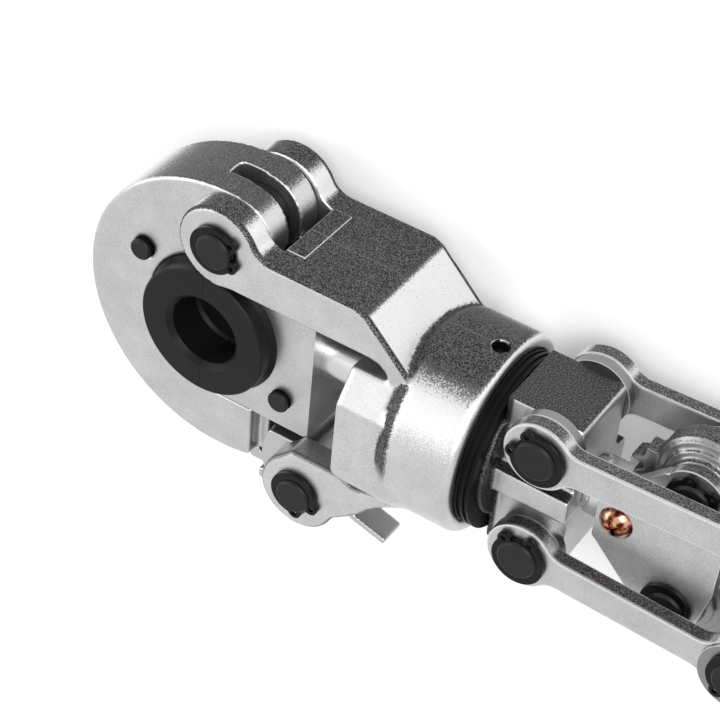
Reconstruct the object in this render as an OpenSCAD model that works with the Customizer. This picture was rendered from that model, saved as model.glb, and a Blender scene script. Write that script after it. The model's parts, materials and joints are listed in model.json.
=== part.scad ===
// Hand press tool for pipe fittings, with a swing jaw, paired dies and two geared handles.
// Frame: X runs back along the tool to the handles, Y to the jaw hinge, Z up from the
// side that the tool lies on. The origin is the middle of the press bore. Millimetres.

/* [Dies] */
// Diameter of the closed press bore
press_bore_d = 22; // [16:0.5:26]
// Diameter of the die body, seated in its pocket
die_body_d = 44.4; // [42:0.2:44.8]
// Diameter of the die's outer faces
die_face_d = 42; // [36:0.5:42]
// How far a die stands out of the jaw on each side
die_proud = 5.7; // [3:0.1:7]

/* [Jaw] */
// Thickness of the swing jaw and of the die slide
jaw_t = 22.6; // [20:0.2:26]
// Radius of the jaw's outer curve
jaw_r = 46.6; // [44:0.2:48]
// Width of the slot between the jaw's two hinge lugs
lug_slot_w = 5.9; // [4:0.1:8]
// Radius of the jaw's hinge lugs
lug_r = 12.1; // [9:0.1:12.1]
// How far the latch turns from its drawn, released place to its hooked place, in degrees
hook_turn = 4.8; // [3:0.2:6]

/* [Head] */
// Hinge pin, distance behind the press bore
hinge_x = 6.2; // [4:0.2:9]
// Hinge pin, distance above the tool's axis
hinge_y = 35.6; // [35.6:0.2:38]
// Latch pin, distance behind the press bore
latch_x = 37.5; // [36:0.5:40]
// Latch pin, distance below the tool's axis
latch_y = 38.4; // [37.5:0.2:41]
// Diameter of the hinge and latch pins
head_pin_d = 11; // [8:0.5:12]
// Thickness of each ear of the housing
ear_t = 8.5; // [6:0.5:10]
// Radius of the ears round the hinge pin
ear_r = 13; // [11:0.2:13]
// Radius of the ears round the latch pin
latch_ear_r = 12.4; // [12:0.2:15]
// Height of the housing's flat top above the axis
top_y = 37.9; // [36:0.2:40]
// Diameter of the round barrel
barrel_d = 60; // [58:1:66]
// Rear end of the barrel, behind the press bore
barrel_end = 89.8; // [86:0.5:96]
// Diameter of the swivel neck that turns in the barrel
neck_d = 42.4; // [36:0.4:44]
// Diameter of the swivel ring
ring_d = 51.8; // [48:0.2:52]

/* [Fork and links] */
// Length of the fork block
block_l = 23.3; // [20:0.5:28]
// Height of the fork block
block_h = 52; // [48:0.5:54]
// Thickness of the fork block
block_t = 24; // [22:0.5:26]
// Distance from the axis to each fork pin
fork_pin_y = 18.4; // [17:0.2:20]
// Diameter of the fork pins and crank pins
link_pin_d = 12; // [9:0.5:12]
// Thickness of a link plate
link_t = 5; // [4:0.2:6]
// Width of a link between its eyes
link_w = 10; // [8:0.5:13]
// Radius of the link eyes
link_eye_r = 10.4; // [9:0.2:11]
// Distance between a link's two eyes
link_l = 66; // [60:0.5:72]

/* [Levers and handles] */
// Distance from the axis to each lever pivot
pivot_y = 20; // [19:0.5:22]
// Throw of the lever's crank
crank_r = 26; // [24:0.5:28]
// Number of teeth on a full gear of the lever's size
gear_teeth = 26; // [24:2:40]
// Thickness of the toothed lever plate
lever_t = 6; // [4:0.5:8]
// Thickness of the carrier plates
carrier_t = 3.6; // [3:0.2:4]
// Diameter of the ram
ram_d = 14.8; // [12:0.2:16]
// Diameter of the handle tubes
tube_d = 22; // [18:1:24]
// Wall of the handle tubes
tube_wall = 2; // [1.5:0.25:3]
// Length of the handle tubes
tube_l = 270; // [200:10:320]
// Splay of each handle away from the axis, in degrees
splay = 4; // [2:0.5:6]
// Diameter of the hand grips
grip_d = 33; // [29:1:36]
// Length of the hand grips
grip_l = 130; // [100:5:150]

/* [Motion] */
// How far each handle opens, in degrees
handle_open = 60; // [30:5:60]
// How far the jaw swings open, in degrees
jaw_open = 70; // [30:5:90]

/* [Hidden] */
$fn = 64;
run = 0.05;             // radial clearance of running and seated fits
gap = 0.3;              // side clearance between plates
e = 0.01;               // overcut of a bore past its face

jaw_z = jaw_t / 2;
ear_in = jaw_z + gap;
ear_out = ear_in + ear_t;
die_z = jaw_z + die_proud;
die_r = die_body_d / 2;
pocket_r = die_r + run;
slide_top = 23.2;
slide_bottom = -25.3;
slide_end = 34.3;
horn_end = 14.7;
tongue_end = 18.2;
nose_x = 11.6;
tongue_z = 6.5;
jaw_centre = [2.9, 1.6];
guide_y = slide_top + 0.2;

tongue_r_out = norm([tongue_end - hinge_x, hinge_y + 43.4]);
nose_y = hinge_y - tongue_r_out - 0.3;
nose_lift = (latch_x - nose_x) * sin(hook_turn);
notch_y = nose_y + nose_lift + 0.5;

front_x = 51.4;         // front face of the housing's body
bridge_x = 23.1;        // where the solid top starts behind the hinge slot
barrel_x = 66.5;
barrel_r = barrel_d / 2;
side_z = barrel_r - 3;
neck_r = neck_d / 2;
neck_front = 70;
mouth_x = barrel_end - 1.8;
ring_end = 94.3;
screw_x = 84.8;
keeper_x = 76;

pin_out = 2.5;          // how far pins stand out of the ears
clip_t = 1.2;
clip_in = 0.4;
head_pin_r = head_pin_d / 2;
head_pin_z = ear_out + pin_out;

button_pos = [24.7, 15.4];
button_r = 3.4;
button_out = 2.4;
button_far = norm(button_pos);
ball_r = 2;
ball_far = button_far - button_r - ball_r - 0.1;
button_travel = 2;

block_x = ring_end + 0.1;
block_end = block_x + block_l;
block_z = block_t / 2;
fork_pin_x = block_x + 14.7;
link_pin_r = link_pin_d / 2;
link_in = block_z + 3.1;
link_out = link_in + link_t;
link_pin_z = link_out + pin_out;

// the closed pose is the dead centre, with crank and link in one line
closed_h = sqrt(pow(link_l - crank_r, 2) - pow(pivot_y - fork_pin_y, 2));
closed_a = asin((pivot_y - fork_pin_y) / (link_l - crank_r));
pivot_x = fork_pin_x + closed_h;
crank_x = pivot_x + crank_r * cos(closed_a);
crank_y = pivot_y + crank_r * sin(closed_a);
open_play = 2.0;        // extra radius in the links' rear eyes, the opened pivot

gear_m = 2 * pivot_y / gear_teeth;
lever_z = lever_t / 2;
carrier_in = lever_z + 4;
carrier_out = carrier_in + carrier_t;
carrier_nose_x = block_end + 6.5;
ram_screw_x = carrier_nose_x + 6.2;
ram_r = ram_d / 2;
tongue_r = 5.4;
lever_pin_r = 5.5;
lever_pin_z = carrier_out + 2.2;
lobe_r = 9;

tube_r = tube_d / 2;
handle_x = crank_x + 13;
handle_y = crank_y + 5.5;
socket_l = 46;
socket_r = tube_r + 3.4;
grip_r = grip_d / 2;
grip_from = tube_l - grip_l + 6;

// Shared shapes

// a disc from z0 to z1, centred on the Z axis
module disc(r, z0, z1) translate([0, 0, z0]) cylinder(r = r, h = z1 - z0);

// both mirror images of the children across the plane Z = 0
module both_sides() { children(); mirror([0, 0, 1]) children(); }

// the children, mirrored to the other side of the tool's axis
module upper_lower(lower = false) mirror([0, lower ? 1 : 0, 0]) children();

// a plain pin with grooved, chamfered ends, half length z
module pin(r, z) {
    groove = pin_out - clip_in - clip_t;
    rotate_extrude()
        polygon([[0, -z], [r - 0.6, -z], [r, 0.6 - z], [r, groove - z],
                 [r - 0.5, groove - z], [r - 0.5, groove + clip_t + 0.1 - z],
                 [r, groove + clip_t + 0.1 - z], [r, z - groove - clip_t - 0.1],
                 [r - 0.5, z - groove - clip_t - 0.1], [r - 0.5, z - groove],
                 [r, z - groove], [r, z - 0.6], [r - 0.6, z], [0, z]]);
}

// an external circlip with two drilled lugs, its gap towards +X, lying on Z = 0
module circlip(r) {
    difference() {
        union() {
            difference() {
                translate([-0.5, 0, 0]) cylinder(r = r + 1.9, h = clip_t);
                translate([r * 0.75, -r * 0.55, -1]) cube([r * 2, r * 1.1, clip_t + 2]);
            }
            for (s = [-1, 1])
                translate([r * 0.95, s * r * 0.62, 0]) cylinder(r = 2.1, h = clip_t);
        }
        disc(r - 0.45, -1, clip_t + 1);
        for (s = [-1, 1])
            translate([r * 0.95 + 0.3, s * r * 0.66, -1]) cylinder(r = 0.8, h = clip_t + 2);
    }
}

// circlips on both ends of a pin, their gaps turned to angle a
module circlip_pair(r, z, a)
    both_sides() translate([0, 0, z - pin_out + clip_in]) rotate([0, 0, a]) circlip(r);

// a tube swept along points p, with n sides
function unit(v) = v / norm(v);
function along(p, i) = unit(p[min(i + 1, len(p) - 1)] - p[max(i - 1, 0)]);
function ring_at(p, i, r, n, up) =
    let (t = along(p, i), s = unit(cross(up, t)), w = cross(t, s))
    [for (k = [0 : n - 1]) p[i] + r * (cos(360 * k / n) * s + sin(360 * k / n) * w)];
module swept_tube(p, r, n = 8, up = [0, 0, 1]) {
    m = len(p);
    pts = [for (i = [0 : m - 1]) each ring_at(p, i, r, n, up)];
    sides = [for (i = [0 : m - 2], k = [0 : n - 1]) each
             let (a = i * n + k, b = i * n + (k + 1) % n)
             [[a, a + n, b], [b, a + n, b + n]]];
    caps = [for (k = [1 : n - 2]) each
            [[0, k, k + 1], [(m - 1) * n, (m - 1) * n + k + 1, (m - 1) * n + k]]];
    polyhedron(points = pts, faces = concat(sides, caps));
}

// points of a coil round the Z axis, from angle a0, in steps of 30 degrees
function coil(r, a0, turns, pitch) =
    [for (i = [0 : round(turns * 12)])
        [r * cos(a0 + 30 * i), r * sin(a0 + 30 * i), (i / 12 - turns / 2) * pitch]];

// Head

// side view of the upper arms, from the hinge eye to the slope behind the flat top
module arm_profile() {
    offset(r = -7) offset(r = 7)
    union() {
        translate([hinge_x, hinge_y]) circle(r = ear_r);
        polygon([[hinge_x, guide_y], [front_x + 12, guide_y], [front_x + 12, 0],
                 [barrel_x + 6, 0], [barrel_x + 6, top_y - 19], [front_x + 3, top_y - 1.4],
                 [front_x, top_y], [bridge_x - 2, top_y], [hinge_x, hinge_y]]);
    }
}

// side view of the lower ears round the latch pin
module latch_ear_profile() {
    offset(r = -5) offset(r = 5)
    union() {
        translate([latch_x, -latch_y]) circle(r = latch_ear_r);
        polygon([[latch_x - 10, -latch_y + 7.3], [latch_x - 3, -23.9], [front_x, -23.9],
                 [front_x + 4, 4 - barrel_r], [barrel_x + 8, 9 - barrel_r],
                 [barrel_x + 9, 7.7 - barrel_r], [barrel_x + 5.3, 6.1 - barrel_r],
                 [barrel_x - 0.2, 2.9 - barrel_r], [barrel_x - 5.2, -latch_y + 7.5],
                 [latch_x + 21, -latch_y + 3.8], [latch_x + 17, -latch_y + 0.4],
                 [latch_x + 12.2, -latch_y - 3.2], [latch_x + 8, -latch_y - 9.5]]);
    }
}

// section across the front of the body, in Y and Z: flat sides and flat upper corners
module body_section() {
    corner = 8;
    intersection() {
        circle(r = barrel_r - 1.2, $fn = 96);
        translate([-barrel_r, -side_z]) square([barrel_r, 2 * side_z]);
    }
    for (s = [0, 1]) mirror([0, s]) polygon(concat(
        [[0, 0], [18.6, 0], [18.6, ear_out], [9.7, side_z]],
        [for (a = [0 : 15 : 90])
            [corner + 8.5 - barrel_r - corner * sin(a), side_z - corner + corner * cos(a)]]));
}

// outside of the barrel, with a soft front shoulder and a rounded rear rim
module barrel_solid() {
    rim = 2.5;
    rotate([0, 90, 0]) rotate_extrude($fn = 96)
        polygon(concat([[0, barrel_x - 3], [barrel_r - 5, barrel_x - 3], [barrel_r - 3.4, barrel_x - 1.2],
                        [barrel_r - 2.4, barrel_x], [barrel_r - 1, barrel_x + 1.5],
                        [barrel_r - 0.3, barrel_x + 2.8], [barrel_r, barrel_x + 4.5]],
            [for (a = [0 : 15 : 90])
                [barrel_r - rim + rim * cos(a), barrel_end - rim + rim * sin(a)]],
            [[0, barrel_end]]));
}

module housing_solid() {
    // front of the body, its corners run out on the barrel
    intersection() {
        translate([front_x, 0, 0]) rotate([90, 0, 90])
            linear_extrude(barrel_x + 8.5 - front_x) body_section();
        rotate([0, 90, 0]) rotate_extrude($fn = 96)
            polygon([[0, front_x - 1], [barrel_r + 4, front_x - 1], [barrel_r + 2.4, barrel_x],
                     [barrel_r - 0.1, barrel_x + 8.6], [0, barrel_x + 8.6]]);
    }
    barrel_solid();
    translate([0, 0, -ear_out]) linear_extrude(2 * ear_out) arm_profile();
    translate([0, 0, -ear_out]) linear_extrude(2 * ear_out) latch_ear_profile();
    // raised ledge at the end of the hinge slot
    translate([bridge_x, top_y - 2, -ear_in]) cube([6.1, 2.8, 2 * ear_in]);
}

module housing() {
    color("silver") difference() {
        housing_solid();
        // hinge slot for the jaw's lugs, and gap for the latch
        translate([-30, guide_y - 12, -ear_in]) cube([30 + bridge_x, 60, 2 * ear_in]);
        translate([latch_x - 30, -70, -ear_in]) cube([front_x - latch_x + 32, 52, 2 * ear_in]);
        // pins
        translate([hinge_x, hinge_y, 0]) disc(head_pin_r + run, -ear_out - e, ear_out + e);
        translate([latch_x, -latch_y, 0]) disc(head_pin_r + run, -ear_out - e, ear_out + e);
        // path of the ram, room for the neck, and the mouth for the swivel ring
        rotate([0, 90, 0]) {
            disc(ram_r + run, front_x - e, barrel_end);
            disc(neck_r + run, neck_front - 0.3, barrel_end);
            disc(ring_d / 2 + run, mouth_x, barrel_end + e);
            disc(neck_r + 1.5, keeper_x - 0.1, keeper_x + 2.1);
        }
        translate([screw_x, 0, 0]) rotate([-90, 0, 0]) disc(2.5, neck_r - 1, barrel_r + 1);
    }
}

module hinge_pin() color("dimgray") translate([hinge_x, hinge_y, 0]) pin(head_pin_r, head_pin_z);
module latch_pin() color("dimgray") translate([latch_x, -latch_y, 0]) pin(head_pin_r, head_pin_z);
module hinge_circlips()
    color("black") translate([hinge_x, hinge_y, 0]) circlip_pair(head_pin_r, head_pin_z, 5);
module latch_circlips()
    color("black") translate([latch_x, -latch_y, 0]) circlip_pair(head_pin_r, head_pin_z, -50);

// sleeve on the hinge pin, in the slot between the jaw's lugs
module hinge_sleeve() color([0.1, 0.1, 0.11]) translate([hinge_x, hinge_y, 0]) difference() {
    disc(head_pin_r + 3, 0.15 - lug_slot_w / 2, lug_slot_w / 2 - 0.15);
    disc(head_pin_r + run, -10, 10);
}

module latch_spring() {
    wire = 0.75;
    coil_r = head_pin_r + wire + 0.25;
    p = concat(coil(coil_r, 190, 2.75, 1.65),
               [[front_x - latch_x - 1.5, coil_r * 0.95, 2.2]]);
    color("gray") translate([latch_x, -latch_y, 0]) swept_tube(p, wire, 6);
}

// grooved ring that the neck turns in
module swivel_ring() {
    groove = 0.9;
    color([0.08, 0.08, 0.09]) rotate([0, 90, 0]) difference() {
        disc(ring_d / 2, mouth_x + run, ring_end);
        disc(neck_r + run, mouth_x - 1, ring_end + 1);
        for (i = [0 : 1]) difference() {
            disc(ring_d / 2 + 1, barrel_end + 0.8 + 1.9 * i, barrel_end + 1.7 + 1.9 * i);
            disc(ring_d / 2 - groove, barrel_end, ring_end);
        }
    }
}

// split ring that keeps the neck in the barrel
module neck_keeper() {
    color("gray") rotate([0, 90, 0]) difference() {
        disc(neck_r + 1.4, keeper_x, keeper_x + 2);
        disc(neck_r - 1.4, keeper_x - 1, keeper_x + 3);
        translate([-1.5, 0, keeper_x - 1]) cube([3, neck_d, 4]);
    }
}

// set screw whose point runs in a groove of the neck
module set_screw() {
    color("dimgray") translate([screw_x, 0, 0]) rotate([-90, 0, 0]) difference() {
        union() {
            disc(1.8, neck_r - 1.2, neck_r + 1);
            disc(2.45, neck_r + 0.4, neck_r + 5.4);
        }
        disc(1.25, neck_r + 3, neck_r + 6, $fn = 6);
    }
}

// Jaw and dies

module jaw_profile() {
    difference() {
        union() {
            intersection() {
                translate(jaw_centre) circle(r = jaw_r, $fn = 128);
                union() {
                    translate([-60, -60]) square([60 + hinge_x, 120]);
                    translate([-60, -60]) square([60 + horn_end, 60]);
                }
            }
            translate([hinge_x, hinge_y]) circle(r = lug_r);
        }
        circle(r = pocket_r, $fn = 96);
        translate([0, slide_bottom - 0.4])
            square([60, guide_y + 0.2 - slide_bottom + 0.4]);
    }
}

// hole for the ball between a button and its die
module radial_hole() {
    rotate([0, 0, 180 + atan2(-button_pos.y, button_pos.x)])
        translate([0, 0, jaw_z - 3]) rotate([0, 90, 0]) disc(ball_r + run, 20, button_far);
}

// bore and spring pocket of a die button
module button_bore() {
    disc(button_r + run, 0, jaw_z + 1);
    disc(4.5, -jaw_z - 1, jaw_z - 5.2);
}

module swing_jaw() {
    color("lightgray") difference() {
        union() {
            translate([0, 0, -jaw_z]) linear_extrude(jaw_t) jaw_profile();
            // tongue that the latch holds, its lower face an arc round the hinge
            intersection() {
                translate([horn_end - 6, -60, -tongue_z])
                    cube([tongue_end - horn_end + 6, 60 + slide_bottom - 0.8, 2 * tongue_z]);
                translate([hinge_x, hinge_y, 0]) cylinder(r = tongue_r_out, h = 40, center = true,
                                                          $fn = 128);
            }
        }
        // slot between the hinge lugs
        translate([hinge_x - 8.7, 10, -lug_slot_w / 2]) cube([40, 60, lug_slot_w]);
        translate([hinge_x, hinge_y, 0]) disc(head_pin_r + run, -jaw_z - e, jaw_z + e);
        // notch for the latch nose
        translate([nose_x - 0.9, -60, -tongue_z + 0.4])
            cube([4.6, 60 + notch_y, 2 * tongue_z - 0.8]);
        radial_hole();
        translate([-button_pos.x, button_pos.y, 0]) button_bore();
    }
}

// one die half, on the side x < 0, with its press profile
module die_half() {
    r = press_bore_d / 2;
    difference() {
        intersection() {
            rotate_extrude($fn = 96)
                polygon([[r + 1.6, -die_z], [die_face_d / 2 - 0.5, -die_z],
                         [die_face_d / 2, 0.5 - die_z], [die_face_d / 2, -jaw_z - 1.6],
                         [die_r, -jaw_z], [die_r, jaw_z], [die_face_d / 2, jaw_z + 1.6],
                         [die_face_d / 2, die_z - 0.5], [die_face_d / 2 - 0.5, die_z],
                         [r + 1.6, die_z], [r, die_z - 1.6], [r, 8.5], [r + 1, 7.5],
                         [r + 1, 3.5], [r, 2.5], [r, -2.5], [r + 1, -3.5],
                         [r + 1, -7.5], [r, -8.5], [r, 1.6 - die_z]]);
            translate([-40 - run, -40, -40]) cube([40, 80, 80]);
        }
        // dimple for the catch ball
        ball_place() sphere(r = ball_r + 0.1);
    }
}

module ball_place() translate([-button_pos.x * ball_far / button_far,
                               button_pos.y * ball_far / button_far, jaw_z - 3]) children();
module front_catch_ball() color("gray") ball_place() sphere(r = ball_r);
module rear_catch_ball() color("gray") rotate([0, 0, 180]) ball_place() sphere(r = ball_r);
module front_die() color([0.1, 0.1, 0.11]) die_half();
module rear_die() color([0.1, 0.1, 0.11]) rotate([0, 0, 180]) die_half();

// button that frees a die when it is pushed in
module die_button() {
    color([0.1, 0.1, 0.11]) rotate_extrude()
        polygon([[0, jaw_z + button_out], [button_r - 0.5, jaw_z + button_out],
                 [button_r, jaw_z + button_out - 0.5], [button_r, jaw_z + 1.2],
                 [button_r - 0.9, jaw_z + 1.1], [button_r - 0.9, jaw_z - 1.9],
                 [button_r, jaw_z - 2], [button_r, jaw_z - 5.3], [4.4, jaw_z - 5.3],
                 [4.4, jaw_z - 6.5], [2.2, jaw_z - 6.5], [2.2, -4], [0, -4]]);
}

module button_spring() {
    from = -jaw_z + 3.4;
    to = jaw_z - 7;
    turns = 6;
    p = [for (i = [0 : turns * 8])
         [3.35 * cos(45 * i), 3.35 * sin(45 * i), from + (to - from) * i / (turns * 8)]];
    color("gray") swept_tube(p, 0.4, 6);
}

module button_plug()
    color("gray") difference() {
        disc(4.45, -jaw_z, -jaw_z + 2.9);
        disc(2, -jaw_z - 1, -jaw_z + 1.6, $fn = 6);
    }

module at_front_button() translate([-button_pos.x, button_pos.y, 0]) children();
module at_rear_button() translate([button_pos.x, -button_pos.y, 0]) children();
module front_button() at_front_button() die_button();
module rear_button() at_rear_button() die_button();
module front_button_spring() at_front_button() button_spring();
module rear_button_spring() at_rear_button() button_spring();
module front_button_plug() at_front_button() button_plug();
module rear_button_plug() at_rear_button() button_plug();

// block that carries the rear die and is pushed by the ram
module die_slide() {
    color("lightgray") difference() {
        translate([0.3, slide_bottom, -jaw_z])
            cube([slide_end - 0.3, slide_top - slide_bottom, jaw_t]);
        disc(pocket_r, -jaw_z - e, jaw_z + e, $fn = 96);
        rotate([0, 90, 0]) disc(ram_r + run, 24, slide_end + 1);
        at_rear_button() button_bore();
        rotate([0, 0, 180]) radial_hole();
        for (s = [-1, 1])
            translate([28, s * (ram_r - 0.4), 0]) disc(1.5 + run, -jaw_z - 1, jaw_z - 4);
    }
}

// two pins that lie in the ram's groove and leave it free to turn
module ram_keeper_pins()
    color("gray") for (s = [-1, 1])
        translate([28, s * (ram_r - 0.4), 0]) disc(1.5, -jaw_z + 0.4, jaw_z - 4.2);

module latch_profile() {
    translate([latch_x, -latch_y]) circle(r = 11);
    // arc-fronted body that faces the tongue
    intersection() {
        translate([latch_x, -latch_y]) circle(r = 18.4, $fn = 96);
        translate([latch_x - 20, nose_y - 5]) square([20, -29.4 - nose_y + 5]);
    }
    // hook below the tongue, with its nose
    translate([nose_x, nose_y - 5]) square([14, 3.4]);
    translate([nose_x, nose_y - 5]) square([3.2, 5]);
}

module tab_profile() polygon([[latch_x + 6, -latch_y - 6], [latch_x + 10.8, -latch_y - 15],
    [latch_x + 22.4, -latch_y - 18.5], [latch_x + 21.8, -latch_y - 20.5],
    [latch_x + 9.6, -latch_y - 16.9], [latch_x + 2, -latch_y - 8]]);

module latch() {
    color("silver") difference() {
        union() {
            intersection() {
                translate([0, 0, -ear_in + gap]) linear_extrude(2 * (ear_in - gap))
                    latch_profile();
                union() {
                    translate([tongue_end + 0.4, -80, -20]) cube([60, 80, 40]);
                    translate([0, -80, -tongue_z + 0.8]) cube([60, 80, 2 * tongue_z - 1.6]);
                }
            }
            // finger tab
            translate([0, 0, -4.6]) linear_extrude(9.2) tab_profile();
        }
        translate([latch_x, -latch_y, 0]) {
            disc(head_pin_r + run, -30, 30);
            disc(8.4, -3.1, 3.1);
            translate([0, 0, -3.1]) cube([20, 20, 6.2]);
        }
    }
}

// Fork block

module fork_block() {
    color("silver") difference() {
        union() {
            // block with rounded rear edges at top and bottom
            translate([block_x, 0, -block_z]) linear_extrude(block_t)
                polygon([[0, -block_h / 2], [block_l - 2, -block_h / 2],
                         [block_l - 0.6, 0.6 - block_h / 2], [block_l, 2 - block_h / 2],
                         [block_l, block_h / 2 - 2], [block_l - 0.6, block_h / 2 - 0.6],
                         [block_l - 2, block_h / 2], [0, block_h / 2]]);
            // guide ribs between the link eyes
            translate([block_x + 2, -4, -link_in - 1.4]) cube([block_l - 1.2, 8, 2 * link_in + 2.8]);
            // neck in the barrel
            rotate([0, 90, 0]) disc(neck_r, neck_front, block_x + 1);
        }
        rotate([0, 90, 0]) {
            disc(ram_r + run, neck_front - 1, block_end + 5);
            // grooves for the keeper and for the set screw
            difference() {
                disc(neck_r + 1, keeper_x - 0.1, keeper_x + 2.1);
                disc(neck_r - 1.5, keeper_x - 1, keeper_x + 3);
            }
            difference() {
                disc(neck_r + 1, screw_x - 2, screw_x + 2);
                disc(neck_r - 1.4, screw_x - 3, screw_x + 3);
            }
        }
        for (s = [-1, 1])
            translate([fork_pin_x, s * fork_pin_y, 0]) disc(link_pin_r + run, -block_z - e, block_z + e);
    }
}

module fork_washers()
    color("gray") for (s = [-1, 1]) both_sides()
        translate([fork_pin_x, s * fork_pin_y, 0]) difference() {
            disc(link_eye_r - 0.4, block_z, link_in - 0.1);
            disc(link_pin_r + run, block_z - 1, link_in + 1);
        }

module fork_pin(lower) upper_lower(lower) color("dimgray")
    translate([fork_pin_x, fork_pin_y, 0]) pin(link_pin_r, link_pin_z);
module upper_fork_pin() fork_pin(false);
module lower_fork_pin() fork_pin(true);
module fork_circlips() {
    color("black") translate([fork_pin_x, fork_pin_y, 0])
        circlip_pair(link_pin_r, link_pin_z, 150);
    color("black") translate([fork_pin_x, -fork_pin_y, 0])
        circlip_pair(link_pin_r, link_pin_z, 100);
}

// Links

module link_profile() {
    offset(r = -6) offset(r = 6)
    union() {
        circle(r = link_eye_r);
        translate([0, -link_w / 2]) square([link_l, link_w]);
        translate([link_l, 0]) circle(r = link_eye_r + 1);
    }
}

module link_plate() {
    difference() {
        translate([0, 0, link_in]) linear_extrude(link_t) link_profile();
        disc(link_pin_r + run, link_in - 1, link_out + 1);
        translate([link_l, 0, 0]) disc(link_pin_r + open_play, link_in - 1, link_out + 1);
    }
}

module link(lower, far) color("silver") upper_lower(lower) mirror([0, 0, far ? 1 : 0])
    translate([fork_pin_x, fork_pin_y, 0]) rotate([0, 0, closed_a]) link_plate();
module upper_near_link() link(false, false);
module upper_far_link() link(false, true);
module lower_near_link() link(true, false);
module lower_far_link() link(true, true);

// Carrier and ram

module ram() {
    color("gainsboro") difference() {
        union() {
            rotate([0, 90, 0]) disc(ram_r, 24.3, block_end + 2.6);
            intersection() {
                translate([0, 0, -carrier_in + 0.05]) linear_extrude(2 * carrier_in - 0.1) {
                    translate([block_end + 1.2, -tongue_r])
                        square([ram_screw_x - block_end - 1.2, 2 * tongue_r]);
                    translate([ram_screw_x, 0]) circle(r = tongue_r);
                }
                translate([block_end, 0, 0]) rotate([0, 90, 0]) cylinder(r = 9, h = 40);
            }
        }
        // groove for the keeper pins
        rotate([0, 90, 0]) difference() {
            disc(ram_r + 1, 26.3, 29.7);
            disc(ram_r - 2, 26, 30);
        }
        translate([ram_screw_x, 0, 0]) disc(2.5, -20, 20);
    }
}

module carrier_plate(far) {
    h = lobe_r;
    color("silver") mirror([0, 0, far ? 1 : 0]) difference() {
        translate([0, 0, carrier_in]) linear_extrude(carrier_t) union() {
            polygon([[carrier_nose_x, -8], [carrier_nose_x + 1.5, -9.5],
                     [pivot_x - 9, -pivot_y - 4], [pivot_x, -pivot_y - h], [pivot_x + h, -pivot_y],
                     [pivot_x + 11.5, -h], [pivot_x + 11.5, h], [pivot_x + h, pivot_y],
                     [pivot_x, pivot_y + h], [pivot_x - 9, pivot_y + 4],
                     [carrier_nose_x + 1.5, 9.5], [carrier_nose_x, 8]]);
            for (s = [-1, 1]) translate([pivot_x, s * pivot_y]) circle(r = h);
        }
        translate([ram_screw_x, 0, 0]) disc(3.05, 0, 30);
        for (s = [-1, 1]) translate([pivot_x, s * pivot_y, 0]) disc(lever_pin_r + run, 0, 30);
    }
}
module near_carrier_plate() carrier_plate(false);
module far_carrier_plate() carrier_plate(true);

// domed screws with a cross recess, one on each side
module carrier_screws() {
    head_r = 5;
    head_h = 2.7;
    ball_r = (head_r * head_r + head_h * head_h) / (2 * head_h);
    color("goldenrod") both_sides() translate([ram_screw_x, 0, 0]) difference() {
        union() {
            intersection() {
                translate([0, 0, carrier_out + head_h - ball_r]) sphere(r = ball_r);
                disc(head_r, carrier_out, carrier_out + head_h + 1);
            }
            disc(3, carrier_in, carrier_out + 0.1);
            disc(2.45, 1, carrier_in + 0.1);
        }
        for (a = [20, 110]) translate([0, 0, carrier_out + 1]) rotate([0, 0, a])
            translate([-2.6, -0.6, 0]) cube([5.2, 1.2, 5]);
    }
}

module lever_pin(lower) upper_lower(lower) color("dimgray")
    translate([pivot_x, pivot_y, 0]) pin(lever_pin_r, lever_pin_z);
module upper_lever_pin() lever_pin(false);
module lower_lever_pin() lever_pin(true);
module lever_pin_circlips() color("black") for (s = [-1, 1])
    translate([pivot_x, s * pivot_y, 0]) both_sides()
        translate([0, 0, carrier_out + 0.1]) rotate([0, 0, s * 70]) circlip(lever_pin_r);

// Levers

// flank of an involute tooth: half angle at radius r, in degrees
function inv_deg(a) = tan(a) * 180 / PI - a;
function tooth_half(r, pitch_r) =
    let (base_r = pitch_r * cos(20), a = acos(min(1, base_r / r)))
    90 / gear_teeth - 0.35 + inv_deg(20) - inv_deg(a);

module gear_tooth() {
    tip = pivot_y + gear_m * 0.95;
    root = pivot_y - gear_m * 1.3;
    steps = [0, 0.25, 0.5, 0.75, 1];
    side = [for (s = steps) let (r = pivot_y * 0.96 + (tip - pivot_y * 0.96) * s)
            [r * cos(tooth_half(r, pivot_y)), r * sin(tooth_half(r, pivot_y))]];
    foot = [(root - 1) * cos(tooth_half(pivot_y * 0.96, pivot_y)),
            (root - 1) * sin(tooth_half(pivot_y * 0.96, pivot_y))];
    polygon(concat([foot], side, [for (i = [len(steps) - 1 : -1 : 0]) [side[i].x, -side[i].y]],
                   [[foot.x, -foot.y]]));
}

// toothed sector, from the mesh point round to the front; phase is 0 or half a tooth
module gear_sector(phase) {
    root = pivot_y - gear_m * 1.3;
    step = 360 / gear_teeth;
    first = -90 + 12;
    last = -90 - handle_open - 34;
    intersection() {
        circle(r = root, $fn = 96);
        polygon([[0, 0], 40 * [cos(first), sin(first)], 40 * [cos(-130), sin(-130)],
                 40 * [cos(last - 4), sin(last - 4)]]);
    }
    for (k = [-2 : 12]) {
        a = -90 - (k + phase) * step;
        if (a < first - 3 && a > last + 1) rotate(a) gear_tooth();
    }
}

module lever_profile(phase) {
    union() {
        translate([pivot_x, pivot_y]) {
            circle(r = 14.6);
            gear_sector(phase);
        }
        hull() {
            translate([pivot_x, pivot_y]) circle(r = 13);
            translate([crank_x, crank_y]) circle(r = link_eye_r);
        }
        hull() {
            translate([crank_x, crank_y]) circle(r = link_eye_r);
            translate([handle_x, handle_y]) circle(r = socket_r - 1);
        }
    }
}

module at_handle() translate([handle_x, handle_y, 0]) rotate([0, 0, splay]) children();

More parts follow.
